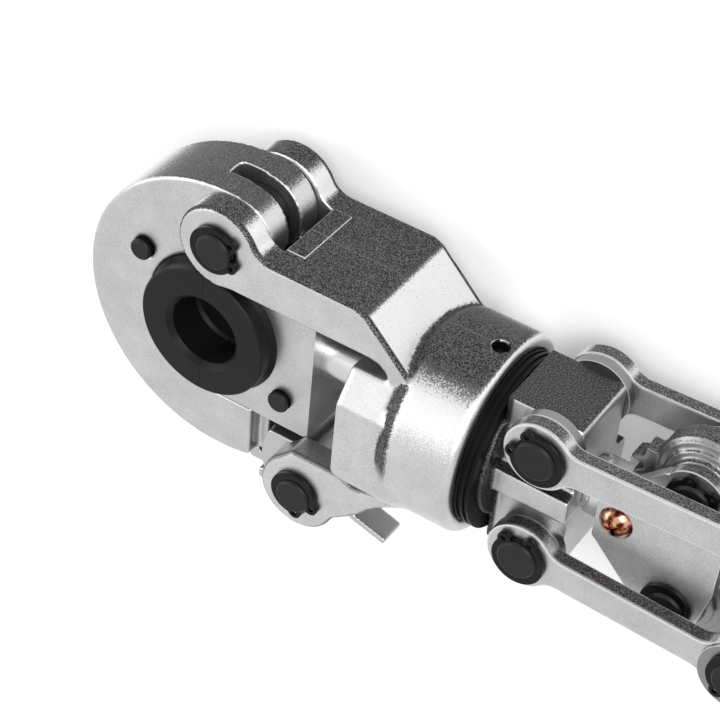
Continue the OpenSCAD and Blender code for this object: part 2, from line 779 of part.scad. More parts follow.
module lever(lower, phase) {
    color("silver") upper_lower(lower) difference() {
        union() {
            translate([0, 0, -lever_z]) linear_extrude(lever_t) lever_profile(phase);
            // stepped hub between the carrier plates
            translate([pivot_x, pivot_y, 0]) {
                disc(13.2, -lever_z - 1, lever_z + 1);
                disc(11.2, -lever_z - 2.2, lever_z + 2.2);
                disc(9.2, -carrier_in + 0.1, carrier_in - 0.1);
            }
            translate([crank_x, crank_y, 0]) disc(link_eye_r - 1.5, -link_in + 0.1, link_in - 0.1);
            // arm from the crank to the round socket
            hull() {
                translate([crank_x + 4, crank_y + 1.5, 0]) disc(6, -lever_z - 2, lever_z + 2, $fn = 32);
                at_handle() rotate([0, 90, 0]) disc(socket_r - 1.5, 4, 8, $fn = 32);
            }
            at_handle() rotate([0, 90, 0]) disc(socket_r, 4, socket_l);
        }
        translate([pivot_x, pivot_y, 0]) disc(lever_pin_r + run, -20, 20);
        translate([crank_x, crank_y, 0]) disc(link_pin_r + run, -20, 20);
        at_handle() rotate([0, 90, 0]) disc(tube_r + run, 12, socket_l + 1);
        at_handle() translate([34, 0, 0]) disc(2.5, -30, 30);
    }
}
module upper_lever() lever(false, 0);
module lower_lever() lever(true, 0.5);

module crank_pin(lower) upper_lower(lower) color("dimgray")
    translate([crank_x, crank_y, 0]) pin(link_pin_r, link_pin_z + 1.4);
module crank_washers(lower) upper_lower(lower) color("gray") both_sides()
    translate([crank_x, crank_y, 0]) difference() {
        disc(link_eye_r + 0.6, link_out + 0.1, link_out + 1.4);
        disc(link_pin_r + run, link_out, link_out + 2);
    }
module crank_circlips(lower) upper_lower(lower) color("black")
    translate([crank_x, crank_y, 0]) circlip_pair(link_pin_r, link_pin_z + 1.4, 90);

module upper_crank_pin() crank_pin(false);
module lower_crank_pin() crank_pin(true);
module upper_crank_washers() crank_washers(false);
module lower_crank_washers() crank_washers(true);
module upper_crank_circlips() crank_circlips(false);
module lower_crank_circlips() crank_circlips(true);

// Handles

module handle_tube(lower) upper_lower(lower) color("gainsboro") at_handle() difference() {
    rotate([0, 90, 0]) disc(tube_r, 12.1, tube_l);
    rotate([0, 90, 0]) disc(tube_r - tube_wall, 11, tube_l + 1);
    translate([34, 0, 0]) disc(2.5, -30, 30);
}

module tube_pin(lower) upper_lower(lower) color("gray") at_handle()
    translate([34, 0, 0]) difference() {
        disc(2.45, -socket_r - 0.4, socket_r + 0.4);
        disc(1.3, -30, 30);
    }

// ribbed rubber grip with a collar at the front and a closed end
module grip(lower) {
    ribs = 12;
    rib_pitch = (grip_l - 34) / ribs;
    outer = concat([[grip_r + 1.5, 0], [grip_r + 1.5, 6], [grip_r - 2, 12]],
        [for (i = [0 : ribs - 1]) each
            [[grip_r - 2, 14 + rib_pitch * i], [grip_r, 15 + rib_pitch * i],
             [grip_r, 12.6 + rib_pitch * (i + 1)], [grip_r - 2, 13.6 + rib_pitch * (i + 1)]]],
        [[grip_r, grip_l - 16], [grip_r, grip_l - 4], [grip_r - 3, grip_l]]);
    color([0.1, 0.1, 0.1]) upper_lower(lower) at_handle() translate([grip_from, 0, 0])
        rotate([0, 90, 0]) rotate_extrude()
            polygon(concat([[tube_r + run, 0]], outer, [[tube_r + run, grip_l]]));
}

module end_cap(lower) upper_lower(lower) color([0.75, 0.1, 0.1]) at_handle()
    rotate([0, 90, 0]) {
        disc(tube_r - tube_wall - run, tube_l - 14, tube_l + 0.5);
        translate([0, 0, tube_l + 0.1]) cylinder(r1 = tube_r - 0.5, r2 = tube_r - 2.5, h = 5.6);
    }

module upper_tube() handle_tube(false);
module lower_tube() handle_tube(true);
module upper_tube_pin() tube_pin(false);
module lower_tube_pin() tube_pin(true);
module upper_grip() grip(false);
module lower_grip() grip(true);
module upper_end_cap() end_cap(false);
module lower_end_cap() end_cap(true);

housing();
hinge_pin();
hinge_circlips();
latch_pin();
latch_circlips();
hinge_sleeve();
latch_spring();
swivel_ring();
neck_keeper();
set_screw();
swing_jaw();
front_die();
front_button();
front_button_spring();
front_button_plug();
front_catch_ball();
die_slide();
rear_die();
rear_button();
rear_button_spring();
rear_button_plug();
rear_catch_ball();
ram_keeper_pins();
latch();
fork_block();
fork_washers();
upper_fork_pin();
lower_fork_pin();
fork_circlips();
ram();
near_carrier_plate();
far_carrier_plate();
carrier_screws();
upper_lever_pin();
lower_lever_pin();
lever_pin_circlips();
upper_near_link();
upper_far_link();
lower_near_link();
lower_far_link();
upper_lever();
upper_crank_pin();
upper_crank_washers();
upper_crank_circlips();
upper_tube();
upper_tube_pin();
upper_grip();
upper_end_cap();
lower_lever();
lower_crank_pin();
lower_crank_washers();
lower_crank_circlips();
lower_tube();
lower_tube_pin();
lower_grip();
lower_end_cap();
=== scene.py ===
"""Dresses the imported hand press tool: rounded edges, steel finishes, studio and camera."""
import json
import math

import bmesh
import bpy
from mathutils import Matrix, Vector


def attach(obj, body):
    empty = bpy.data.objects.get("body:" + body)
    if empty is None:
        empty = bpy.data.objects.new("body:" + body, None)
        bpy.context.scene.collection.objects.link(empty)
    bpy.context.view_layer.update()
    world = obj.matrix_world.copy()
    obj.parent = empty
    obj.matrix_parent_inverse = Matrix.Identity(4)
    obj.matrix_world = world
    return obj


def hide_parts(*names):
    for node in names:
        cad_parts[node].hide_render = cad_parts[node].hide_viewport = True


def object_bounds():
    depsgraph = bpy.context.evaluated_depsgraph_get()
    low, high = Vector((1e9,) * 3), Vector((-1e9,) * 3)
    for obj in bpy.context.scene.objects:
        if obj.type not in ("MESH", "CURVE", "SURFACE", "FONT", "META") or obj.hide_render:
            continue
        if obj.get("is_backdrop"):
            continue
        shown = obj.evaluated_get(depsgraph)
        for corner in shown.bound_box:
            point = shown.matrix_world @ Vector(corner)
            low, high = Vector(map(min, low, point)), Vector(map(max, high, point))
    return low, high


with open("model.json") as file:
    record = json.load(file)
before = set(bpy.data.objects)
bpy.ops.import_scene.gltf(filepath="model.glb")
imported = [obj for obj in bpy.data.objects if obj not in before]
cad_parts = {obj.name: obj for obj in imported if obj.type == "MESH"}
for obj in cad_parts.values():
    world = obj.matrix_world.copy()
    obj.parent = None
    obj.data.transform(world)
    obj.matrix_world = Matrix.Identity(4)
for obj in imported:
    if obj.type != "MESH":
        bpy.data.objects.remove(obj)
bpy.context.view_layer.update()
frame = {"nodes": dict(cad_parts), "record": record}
nodes = frame["nodes"]

MM = 0.001
# threaded hole on top of the barrel
HOLE_X_MM, HOLE_R_MM, HOLE_PITCH_MM = 84.8, 2.75, 0.8
SLOT_OF = {row["node"]: row["material_slot"] for row in frame["record"]["subparts"]}
BODY_OF = {
    node: body
    for body, members in frame["record"]["behaviour"]["bodies"].items()
    for node in members
}


# ---- Shader building blocks ----

def new_material(name, metallic, roughness):
    """An empty Principled material and the two nodes that every finish starts from."""
    material = bpy.data.materials.new(name)
    material.use_nodes = True
    tree = material.node_tree
    shader = tree.nodes["Principled BSDF"]
    shader.inputs["Metallic"].default_value = metallic
    shader.inputs["Roughness"].default_value = roughness
    place = tree.nodes.new("ShaderNodeTexCoord")
    return material, tree, shader, place.outputs["Object"]


def grain(tree, place, size_mm, detail=2.0, stretch=(1, 1, 1)):
    """Noise whose grains are about size_mm across, stretched along an axis for brushed metal."""
    mapping = tree.nodes.new("ShaderNodeMapping")
    mapping.inputs["Scale"].default_value = stretch
    texture = tree.nodes.new("ShaderNodeTexNoise")
    texture.inputs["Scale"].default_value = 1.0 / (size_mm * MM)
    texture.inputs["Detail"].default_value = detail
    tree.links.new(place, mapping.inputs["Vector"])
    tree.links.new(mapping.outputs["Vector"], texture.inputs["Vector"])
    return texture.outputs["Fac"]


def ramp(tree, factor, stops):
    """A colour ramp over factor; stops are (place, grey or colour)."""
    node = tree.nodes.new("ShaderNodeValToRGB")
    elements = node.color_ramp.elements
    while len(elements) < len(stops):
        elements.new(0.5)
    for element, (place, colour) in zip(elements, stops):
        element.position = place
        rgb = colour if isinstance(colour, tuple) else (colour,) * 3
        element.color = (*rgb, 1.0)
    tree.links.new(factor, node.inputs["Fac"])
    return node.outputs["Color"]


def blend(tree, factor, under, over):
    """Mixes two colours by factor, which is an output or a number."""
    node = tree.nodes.new("ShaderNodeMix")
    node.data_type = "RGBA"
    if isinstance(factor, (int, float)):
        node.inputs["Factor"].default_value = factor
    else:
        tree.links.new(factor, node.inputs["Factor"])
    tree.links.new(under, node.inputs["A"])
    tree.links.new(over, node.inputs["B"])
    return node.outputs["Result"]


def calc(tree, operation, *values):
    """A maths node over values, which are outputs or numbers."""
    node = tree.nodes.new("ShaderNodeMath")
    node.operation = operation
    for socket, value in zip(node.inputs, values):
        if isinstance(value, (int, float)):
            socket.default_value = value
        else:
            tree.links.new(value, socket)
    return node.outputs["Value"]


def scaled(tree, value, factor, offset=0.0):
    return calc(tree, "MULTIPLY_ADD", value, factor, offset)


def inverse(tree, mask, share=1.0):
    """1 where the mask is 0, and 1 - share where it is 1."""
    return scaled(tree, mask, -share, 1.0)


def product(tree, first, *others):
    for other in others:
        first = calc(tree, "MULTIPLY", first, other)
    return first


def total(tree, a, b):
    return calc(tree, "ADD", a, b)


def larger(tree, a, b):
    return calc(tree, "MAXIMUM", a, b)


def size_of(tree, value):
    return calc(tree, "ABSOLUTE", value)


def surface_value(tree, name):
    node = tree.nodes.new("ShaderNodeAttribute")
    node.attribute_name = name
    return node.outputs["Fac"]


def split(tree, vector):
    """The three parts of a vector."""
    node = tree.nodes.new("ShaderNodeSeparateXYZ")
    tree.links.new(vector, node.inputs["Vector"])
    return [node.outputs[axis] for axis in "XYZ"]


def rise(tree, value, low, high):
    """0 below low, 1 above high, soft between; turned round where low is above high."""
    node = tree.nodes.new("ShaderNodeMapRange")
    node.interpolation_type = "SMOOTHSTEP"
    turned = low > high
    node.inputs["From Min"].default_value = high if turned else low
    node.inputs["From Max"].default_value = low if turned else high
    node.inputs["To Min"].default_value = 1.0 if turned else 0.0
    node.inputs["To Max"].default_value = 0.0 if turned else 1.0
    tree.links.new(value, node.inputs["Value"])
    return node.outputs["Result"]


def dents(tree, shader, height, depth_mm, strength=1.0):
    node = tree.nodes.new("ShaderNodeBump")
    node.inputs["Distance"].default_value = depth_mm * MM
    if isinstance(strength, (int, float)):
        node.inputs["Strength"].default_value = strength
    else:
        tree.links.new(strength, node.inputs["Strength"])
    tree.links.new(height, node.inputs["Height"])
    tree.links.new(node.outputs["Normal"], shader.inputs["Normal"])


# ---- Finishes ----

def forged_steel(name, ground, shaded_skin, speck, shine=0.5, housing=False, toothed=False,
                 collar_mm=None):
    """Satin ground steel, with a blasted skin on the edges of plates and painted highlights.

    The skin's dark grey, given after ground, is partly its own and partly painted shade; the
    slopes beside the skin and the rounded edges get a painted highlight, mixed with some real edge
    wear. speck is how far the skin's grains stray from its grey; the housing also has the line
    that the two forging dies leave along its middle and painted shade in its threaded hole, a
    toothed piece has painted shade on its teeth and all round, and a piece with a collar has
    painted shade in front of X = collar_mm."""
    material, tree, shader, place = new_material(name, 1.0, 0.4)
    specks = grain(tree, place, 0.4, 3.0)
    clouds = grain(tree, place, 9.0, 2.0)
    skin_and_shade, slope_sheen = skin_shade_and_sheen_masks(tree, place, specks, shine, housing, toothed)
    # painted shade: the neck in front of the collar gets dark skin and no painted highlight
    if collar_mm:
        front = rise(tree, split(tree, place)[0], (collar_mm + 1) * MM, collar_mm * MM)
        skin_and_shade = larger(tree, skin_and_shade, front)
        slope_sheen = product(tree, slope_sheen, inverse(tree, front))
    # painted highlight on the slopes and rounded edges, mixed with real edge wear
    wear_and_glint = larger(tree, scaled(tree, surface_value(tree, "wear_and_glint"), 0.7), slope_sheen)
    # the skin's dark grey: partly the blasted skin's own, partly painted shade
    shaded_skin_colour = ramp(tree, specks, [(0.38, shaded_skin * (1 - speck)), (0.5, shaded_skin),
                                      (0.62, shaded_skin * (1 + 2.2 * speck))])
    satin = ramp(tree, specks, [(0.34, ground * 0.72), (0.66, ground * 1.18)])
    mottled = ramp(tree, clouds, [(0.3, ground * 0.82), (0.7, ground * 1.08)])
    flat = blend(tree, 0.5, satin, mottled)
    # painted highlight: the bright grey of the rounded edges and slopes
    edge = ramp(tree, specks, [(0.3, 0.80), (0.7, 0.95)])
    colour = blend(tree, skin_and_shade, flat, shaded_skin_colour)
    colour = blend(tree, scaled(tree, wear_and_glint, 0.7), colour, edge)
    height = specks
    if housing:
        line = rise(tree, size_of(tree, split(tree, place)[2]), 0.3 * MM, 0.0)
        paler = ramp(tree, specks, [(0.3, shaded_skin * 2.4), (0.7, shaded_skin * 3.2)])
        colour = blend(tree, product(tree, line, scaled(tree, skin_and_shade, 0.75)), colour, paler)
        height = total(tree, specks, scaled(tree, line, 0.8))
        # painted shade in the threaded hole, with lighter stripes as painted highlights on the thread
        hole = screw_hole(tree, place)
        thread_shade_stripes = ramp(tree, thread_turns(tree, place), [(0.3, 0.012), (0.75, 0.10)])
        colour = blend(tree, hole, colour, thread_shade_stripes)
    tree.links.new(colour, shader.inputs["Base Color"])
    tree.links.new(scaled(tree, skin_and_shade, 0.12, 0.36), shader.inputs["Roughness"])
    dents(tree, shader, height, 0.12, scaled(tree, skin_and_shade, 0.4, 0.08))
    return material


def skin_shade_and_sheen_masks(tree, place, specks, shine, housing, toothed):
    """Where a forged piece keeps its dark skin, darkened further as painted shade, and where the
    slopes beside it get a painted highlight.

    Both go by the direction that a face has on the piece itself, stored in the mesh, and
    the specks make their borders ragged."""
    facing = tree.nodes.new("ShaderNodeAttribute")
    facing.attribute_name = "facing"
    nx, ny, nz = split(tree, facing.outputs["Vector"])
    ragged = scaled(tree, specks, 0.4, -0.2)
    # a toothed piece gets the dark skin, as painted shade, on every face not turned along Z
    if toothed:
        kept_skin_and_shade = rise(tree, total(tree, size_of(tree, nz), ragged), 0.8, 0.5)
    else:
        kept_skin_and_shade = rise(tree, total(tree, size_of(tree, ny), ragged), 0.72, 0.86)
    if housing:
        x, y, z = split(tree, place)

        def zone(value, low_mm, high_mm):
            return rise(tree, value, low_mm * MM, high_mm * MM)

        # painted shade zones: none on the shoulders, half as much below the middle, more on the rims
        # and the barrel front
        shoulders = product(tree, zone(y, 4, 6), zone(y, 24, 22), zone(x, 66, 64))
        underside = zone(y, 0, -4)
        # rounded rims beside the ground faces, on the arms, round the lower ears and on their tops,
        # take painted shade
        turning = product(tree, zone(size_of(tree, z), 18, 18.6),
                          rise(tree, size_of(tree, nz), 0.97, 0.85))
        arms = product(tree, zone(y, 12, 14), zone(x, 71, 68))
        ear_tops = product(tree, zone(y, -16, -18), rise(tree, ny, 0.1, 0.3))
        ears = scaled(tree, larger(tree, zone(y, -26, -28), ear_tops), 0.7)
        rims = product(tree, turning, larger(tree, arms, ears))
        # painted shade on the barrel front where its faces turn towards -X
        barrel_front = product(tree, rise(tree, total(tree, nx, ragged), -0.08, -0.3),
                               zone(x, 64, 65.5), zone(y, -9, -2))
        kept_skin_and_shade = product(tree, kept_skin_and_shade, inverse(tree, underside, 0.5))
        kept_skin_and_shade = product(tree, larger(tree, kept_skin_and_shade, rims), inverse(tree, shoulders))
        kept_skin_and_shade = larger(tree, kept_skin_and_shade, barrel_front)
    # painted highlight on the slopes that turn upward
    slopes = product(tree, rise(tree, total(tree, ny, ragged), 0.28, 0.5), inverse(tree, kept_skin_and_shade))
    if housing:
        slopes = product(tree, slopes, zone(y, -8, 0), inverse(tree, shoulders, 0.55))
    return kept_skin_and_shade, scaled(tree, slopes, shine)


def screw_hole(tree, place):
    """1 within the threaded hole on top of the barrel, 0 outside it."""
    x, y, z = split(tree, place)
    across = tree.nodes.new("ShaderNodeCombineXYZ")
    tree.links.new(scaled(tree, x, 1.0, -HOLE_X_MM * MM), across.inputs["X"])
    tree.links.new(z, across.inputs["Z"])
    length = tree.nodes.new("ShaderNodeVectorMath")
    length.operation = "LENGTH"
    tree.links.new(across.outputs["Vector"], length.inputs[0])
    near = rise(tree, length.outputs["Value"], HOLE_R_MM * MM, (HOLE_R_MM - 0.15) * MM)
    return product(tree, near, rise(tree, y, 0.0, 1 * MM))


def thread_turns(tree, place):
    """Rises from 0 to 1 and falls again over each turn of the screw thread in the hole."""
    half_turn = HOLE_PITCH_MM / 2 * MM
    climb = calc(tree, "PINGPONG", split(tree, place)[1], half_turn)
    return scaled(tree, climb, 1 / half_turn)


def ground_steel(name, grey, roughness, stretch=(1, 1, 1)):
    """Satin or bright steel with fine grinding marks and a light mottle."""
    material, tree, shader, place = new_material(name, 1.0, roughness)
    marks = grain(tree, place, 0.35, 3.0, stretch)
    clouds = grain(tree, place, 7.0, 2.0)
    fine = ramp(tree, marks, [(0.3, grey * 0.92), (0.7, min(grey * 1.06, 1.0))])
    broad = ramp(tree, clouds, [(0.3, grey * 0.96), (0.7, min(grey * 1.04, 1.0))])
    wear_and_glint = surface_value(tree, "wear_and_glint")
    # painted highlight on the rounded edges, mixed with real edge wear
    edge = ramp(tree, marks, [(0.3, 0.85), (0.7, 0.95)])
    colour = blend(tree, scaled(tree, wear_and_glint, 0.6), blend(tree, 0.5, fine, broad), edge)
    tree.links.new(colour, shader.inputs["Base Color"])
    tree.links.new(scaled(tree, clouds, 0.08, roughness - 0.04), shader.inputs["Roughness"])
    dents(tree, shader, marks, 0.03, 0.25)
    return material


def black_oxide(name, grey, roughness, shine=0.22):
    """Blackened steel, a little lighter where edges are rubbed."""
    material, tree, shader, place = new_material(name, 0.0, roughness)
    fine = grain(tree, place, 0.5, 3.0)
    clouds = grain(tree, place, 6.0, 2.0)
    base = ramp(tree, fine, [(0.3, grey * 0.8), (0.7, grey * 1.25)])
    rubbed = ramp(tree, clouds, [(0.4, grey * 3.0), (0.7, grey * 5.0)])
    wear_and_glint = surface_value(tree, "wear_and_glint")
    tree.links.new(blend(tree, scaled(tree, wear_and_glint, 0.6), base, rubbed), shader.inputs["Base Color"])
    tree.links.new(scaled(tree, clouds, 0.12, roughness - 0.06), shader.inputs["Roughness"])
    shader.inputs["Specular IOR Level"].default_value = shine
    dents(tree, shader, fine, 0.05, 0.3)
    return material


def yellow_zinc():
    material, tree, shader, place = new_material("yellow_zinc", 1.0, 0.22)
    tints = grain(tree, place, 2.2, 1.0)
    colour = ramp(tree, tints, [(0.40, (0.05, 0.014, 0.009)), (0.50, (0.26, 0.095, 0.05)),
                                (0.60, (0.62, 0.36, 0.24))])
    tree.links.new(colour, shader.inputs["Base Color"])
    dents(tree, shader, tints, 0.03, 0.3)
    return material


def grip_rubber():
    material, tree, shader, place = new_material("grip_rubber", 0.0, 0.62)
    fine = grain(tree, place, 0.35, 4.0)
    clouds = grain(tree, place, 14.0, 2.0)
    base = ramp(tree, fine, [(0.3, 0.018), (0.7, 0.032)])
    dusty = ramp(tree, clouds, [(0.4, 0.022), (0.75, 0.045)])
    tree.links.new(blend(tree, 0.4, base, dusty), shader.inputs["Base Color"])
    tree.links.new(scaled(tree, clouds, 0.15, 0.55), shader.inputs["Roughness"])
    dents(tree, shader, fine, 0.08, 0.5)
    return material


def cap_plastic():
    material, tree, shader, place = new_material("cap_plastic", 0.0, 0.42)
    fine = grain(tree, place, 0.4, 3.0)
    tree.links.new(ramp(tree, fine, [(0.3, (0.42, 0.03, 0.025)), (0.7, (0.52, 0.045, 0.035))]),
                   shader.inputs["Base Color"])
    dents(tree, shader, fine, 0.05, 0.3)
    return material


FORGED = forged_steel("forged_steel", 0.60, 0.062, 0.75, 1.0, housing=True)
FACED = forged_steel("faced_steel", 0.56, 0.10, 0.6)
BLOCK_STEEL = forged_steel("block_steel", 0.54, 0.06, 0.7, 0.3, collar_mm=96.0)
# the levers' darker ground grey is partly their own tone and partly painted shade from sitting
# between the carrier plates
LEVER_STEEL = forged_steel("lever_steel", 0.28, 0.08, 0.6, 0.0, toothed=True)
JAW_STEEL = forged_steel("jaw_steel", 0.58, 0.09, 0.35)
DULL = ground_steel("dull_steel", 0.26, 0.34)
LATCH_STEEL = ground_steel("latch_steel", 0.52, 0.33)
BRIGHT = ground_steel("bright_steel", 0.64, 0.27, (1, 0.25, 1))
WIRE = ground_steel("spring_wire", 0.4, 0.3)
TUBE = ground_steel("plated_tube", 0.7, 0.2, (0.2, 1, 1))
BLACK = black_oxide("black_oxide", 0.008, 0.42)
CLIP_BLACK = black_oxide("clip_black", 0.003, 0.3, 0.16)
DIE_BLACK = black_oxide("die_black", 0.006, 0.42, 0.16)
RING_BLACK = black_oxide("ring_black", 0.004, 0.4, 0.08)
ZINC = yellow_zinc()
RUBBER = grip_rubber()
CAP = cap_plastic()

FINISH_OF_SLOT = {
    "housing_steel": FORGED, "machined_steel": FACED, "bright_steel": BRIGHT,
    "black_steel": BLACK, "spring_steel": WIRE, "yellow_zinc": ZINC,
    "handle_tube": TUBE, "grip_rubber": RUBBER, "cap_plastic": CAP,
}


# ---- Dressed pieces ----

def merged_copy(node):
    """The node's triangles as one closed, cleaned bmesh."""
    bm = bmesh.new()
    bm.from_mesh(nodes[node].data)
    bmesh.ops.remove_doubles(bm, verts=bm.verts, dist=0.002 * MM)
    bmesh.ops.dissolve_limit(bm, angle_limit=math.radians(0.4), verts=bm.verts, edges=bm.edges)
    return bm


def mark_surface(mesh, wear_and_glint_faces=frozenset()):
    """Stores, for each face corner, the direction that it faces and its edge wear and painted edge
    highlight.
    """
    mesh.update()
    mesh.attributes.new("facing", "FLOAT_VECTOR", "CORNER")
    mesh.attributes.new("wear_and_glint", "FLOAT", "CORNER")
    facing = mesh.attributes["facing"].data
    wear_and_glint_values = mesh.attributes["wear_and_glint"].data
    for polygon in mesh.polygons:
        wear_and_glint = 1.0 if polygon.index in wear_and_glint_faces else 0.0
        for corner in polygon.loop_indices:
            facing[corner].vector = mesh.corner_normals[corner].vector
            wear_and_glint_values[corner].value = wear_and_glint


def shade(obj, angle=32):
    """Smooth shading that keeps flat faces flat, stored in the mesh."""
    obj.data.shade_smooth()
    obj.data.set_sharp_from_angle(angle=math.radians(angle))
    even = obj.modifiers.new("even_faces", "WEIGHTED_NORMAL")
    even.keep_sharp = True
    settle(obj)


def settle(obj):
    """Applies the modifiers: the object keeps the plain mesh that they give."""
    graph = bpy.context.evaluated_depsgraph_get()
    graph.update()
    mesh = bpy.data.meshes.new_from_object(obj.evaluated_get(graph))
    old = obj.data
    obj.modifiers.clear()
    obj.data = mesh
    bpy.data.meshes.remove(old)


def place_piece(name, mesh, finish):
    obj = bpy.data.objects.new(name, mesh)
    bpy.context.scene.collection.objects.link(obj)
    mesh.materials.clear()
    mesh.materials.append(finish)
    return obj


def stand_for(obj, *members):
    """The piece rides where the CAD nodes ride and stands for them."""
    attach(obj, BODY_OF[members[0]])
    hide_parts(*members)


def edged(node, edge_mm, finish=None, segments=2, sharp=26):
    """A copy of a CAD node with its sharp edges rounded to edge_mm."""
    bm = merged_copy(node)
    rims = [e for e in bm.edges
            if len(e.link_faces) == 2 and e.calc_face_angle(0.0) > math.radians(sharp)]
    result = bmesh.ops.bevel(bm, geom=rims, offset=edge_mm * MM, offset_type="OFFSET",
                             segments=segments, profile=0.5, affect="EDGES",
                             clamp_overlap=True)
    for face in bm.faces:
        face.select = False
    for face in result["faces"]:
        face.select = True
    mesh = bpy.data.meshes.new("dressed_" + node)
    bm.to_mesh(mesh)
    bm.free()
    obj = place_piece("dressed_" + node, mesh, finish or FINISH_OF_SLOT[SLOT_OF[node]])
    shade(obj)
    # the rounded edges carry edge wear and a painted highlight
    wear_and_glint = {p.index for p in obj.data.polygons if p.select}
    mark_surface(obj.data, wear_and_glint)
    stand_for(obj, node)
    return obj


def add_ledge(bm):
    """The low ledge at the end of the hinge slot, as crisp as in the solids."""
    low, high = (23.1, 36.5, -11.6), (29.2, 38.7, 11.6)
    middle = [(a + b) / 2 * MM for a, b in zip(low, high)]
    spans = [(b - a) * MM for a, b in zip(low, high)]
    form = Matrix.Translation(middle) @ Matrix.Diagonal((*spans, 1.0))
    made = bmesh.ops.create_cube(bm, size=1.0, matrix=form)
    rims = list({edge for vert in made["verts"] for edge in vert.link_edges})
    result = bmesh.ops.bevel(bm, geom=rims, offset=0.25 * MM, offset_type="OFFSET", segments=2,
                             profile=0.5, affect="EDGES", clamp_overlap=True)
    # the rounded edges carry edge wear and a painted highlight
    for face in result["faces"]:
        face.select = True


def soft_forging(node, voxel_mm, rounds, finish, crisp=None):
    """A copy of a forged node with soft edges and fillets, as dies leave them."""
    bm = merged_copy(node)
    mesh = bpy.data.meshes.new("dressed_" + node)
    bm.to_mesh(mesh)
    bm.free()
    obj = place_piece("dressed_" + node, mesh, finish)
    remesh = obj.modifiers.new("even_mesh", "REMESH")
    remesh.mode = "VOXEL"
    remesh.voxel_size = voxel_mm * MM
    smooth = obj.modifiers.new("soft_edges", "SMOOTH")
    smooth.factor = 0.5
    smooth.iterations = rounds
    settle(obj)
    bm = bmesh.new()
    bm.from_mesh(obj.data)
    bmesh.ops.dissolve_limit(bm, angle_limit=math.radians(0.25), verts=bm.verts, edges=bm.edges)
    for face in bm.faces:
        face.select = False
    if crisp:
        crisp(bm)
    bm.to_mesh(obj.data)
    bm.free()
    shade(obj, 80)
    # the rounded edges carry edge wear and a painted highlight
    wear_and_glint = {p.index for p in obj.data.polygons if p.select}
    mark_surface(obj.data, wear_and_glint)
    stand_for(obj, node)
    return obj


def coil_tree():
    """Geometry nodes that wind a round wire into a coil round the Z axis."""
    tree = bpy.data.node_groups.new("wire_coil", "GeometryNodeTree")
    face = tree.interface
    face.new_socket("Geometry", in_out="OUTPUT", socket_type="NodeSocketGeometry")
    for name in ("Coil radius", "Wire radius", "Turns", "Height"):
        face.new_socket(name, in_out="INPUT", socket_type="NodeSocketFloat")
    face.new_socket("Finish", in_out="INPUT", socket_type="NodeSocketMaterial")
    start = tree.nodes.new("NodeGroupInput")
    end = tree.nodes.new("NodeGroupOutput")
    spiral = tree.nodes.new("GeometryNodeCurveSpiral")
    spiral.inputs["Resolution"].default_value = 32
    wire = tree.nodes.new("GeometryNodeCurvePrimitiveCircle")
    wire.inputs["Resolution"].default_value = 10
    sweep = tree.nodes.new("GeometryNodeCurveToMesh")
    sweep.inputs["Fill Caps"].default_value = True
    smooth = tree.nodes.new("GeometryNodeSetShadeSmooth")
    real = tree.nodes.new("GeometryNodeRealizeInstances")
    finish = tree.nodes.new("GeometryNodeSetMaterial")
    link = tree.links.new
    link(start.outputs["Coil radius"], spiral.inputs["Start Radius"])
    link(start.outputs["Coil radius"], spiral.inputs["End Radius"])
    link(start.outputs["Turns"], spiral.inputs["Rotations"])
    link(start.outputs["Height"], spiral.inputs["Height"])
    link(start.outputs["Wire radius"], wire.inputs["Radius"])
    link(spiral.outputs["Curve"], sweep.inputs["Curve"])
    link(wire.outputs["Curve"], sweep.inputs["Profile Curve"])
    link(sweep.outputs["Mesh"], smooth.inputs["Geometry"])
    link(smooth.outputs["Geometry"], real.inputs["Geometry"])
    link(real.outputs["Geometry"], finish.inputs["Geometry"])
    link(start.outputs["Finish"], finish.inputs["Material"])
    link(finish.outputs["Geometry"], end.inputs["Geometry"])
    return tree


def coil(tree, node, foot_mm, sizes):
    """A wound spring in place of the CAD node, standing on foot_mm."""
    mesh = bpy.data.meshes.new("dressed_" + node)
    obj = place_piece("dressed_" + node, mesh, WIRE)
    winder = obj.modifiers.new("wire_coil", "NODES")
    winder.node_group = tree
    for item in tree.interface.items_tree:
        if item.in_out == "INPUT":
            value = WIRE if item.name == "Finish" else sizes[item.name]
            winder[item.identifier] = value
    settle(obj)
    obj.data.transform(Matrix.Translation([value * MM for value in foot_mm]))
    mark_surface(obj.data)
    stand_for(obj, node)


# voxel size in mm, smoothing rounds, finish and, where there is one, a crisp detail
FORGINGS = {
    "housing": (0.65, 8, FORGED, add_ledge),
    "swing_jaw": (0.6, 3, JAW_STEEL, None),
    "latch": (0.45, 7, LATCH_STEEL, None),
    "fork_block": (0.6, 7, BLOCK_STEEL, None),
    "upper_lever": (0.55, 3, LEVER_STEEL, None),
    "lower_lever": (0.55, 3, LEVER_STEEL, None),
}
for node, recipe in FORGINGS.items():
    soft_forging(node, *recipe)

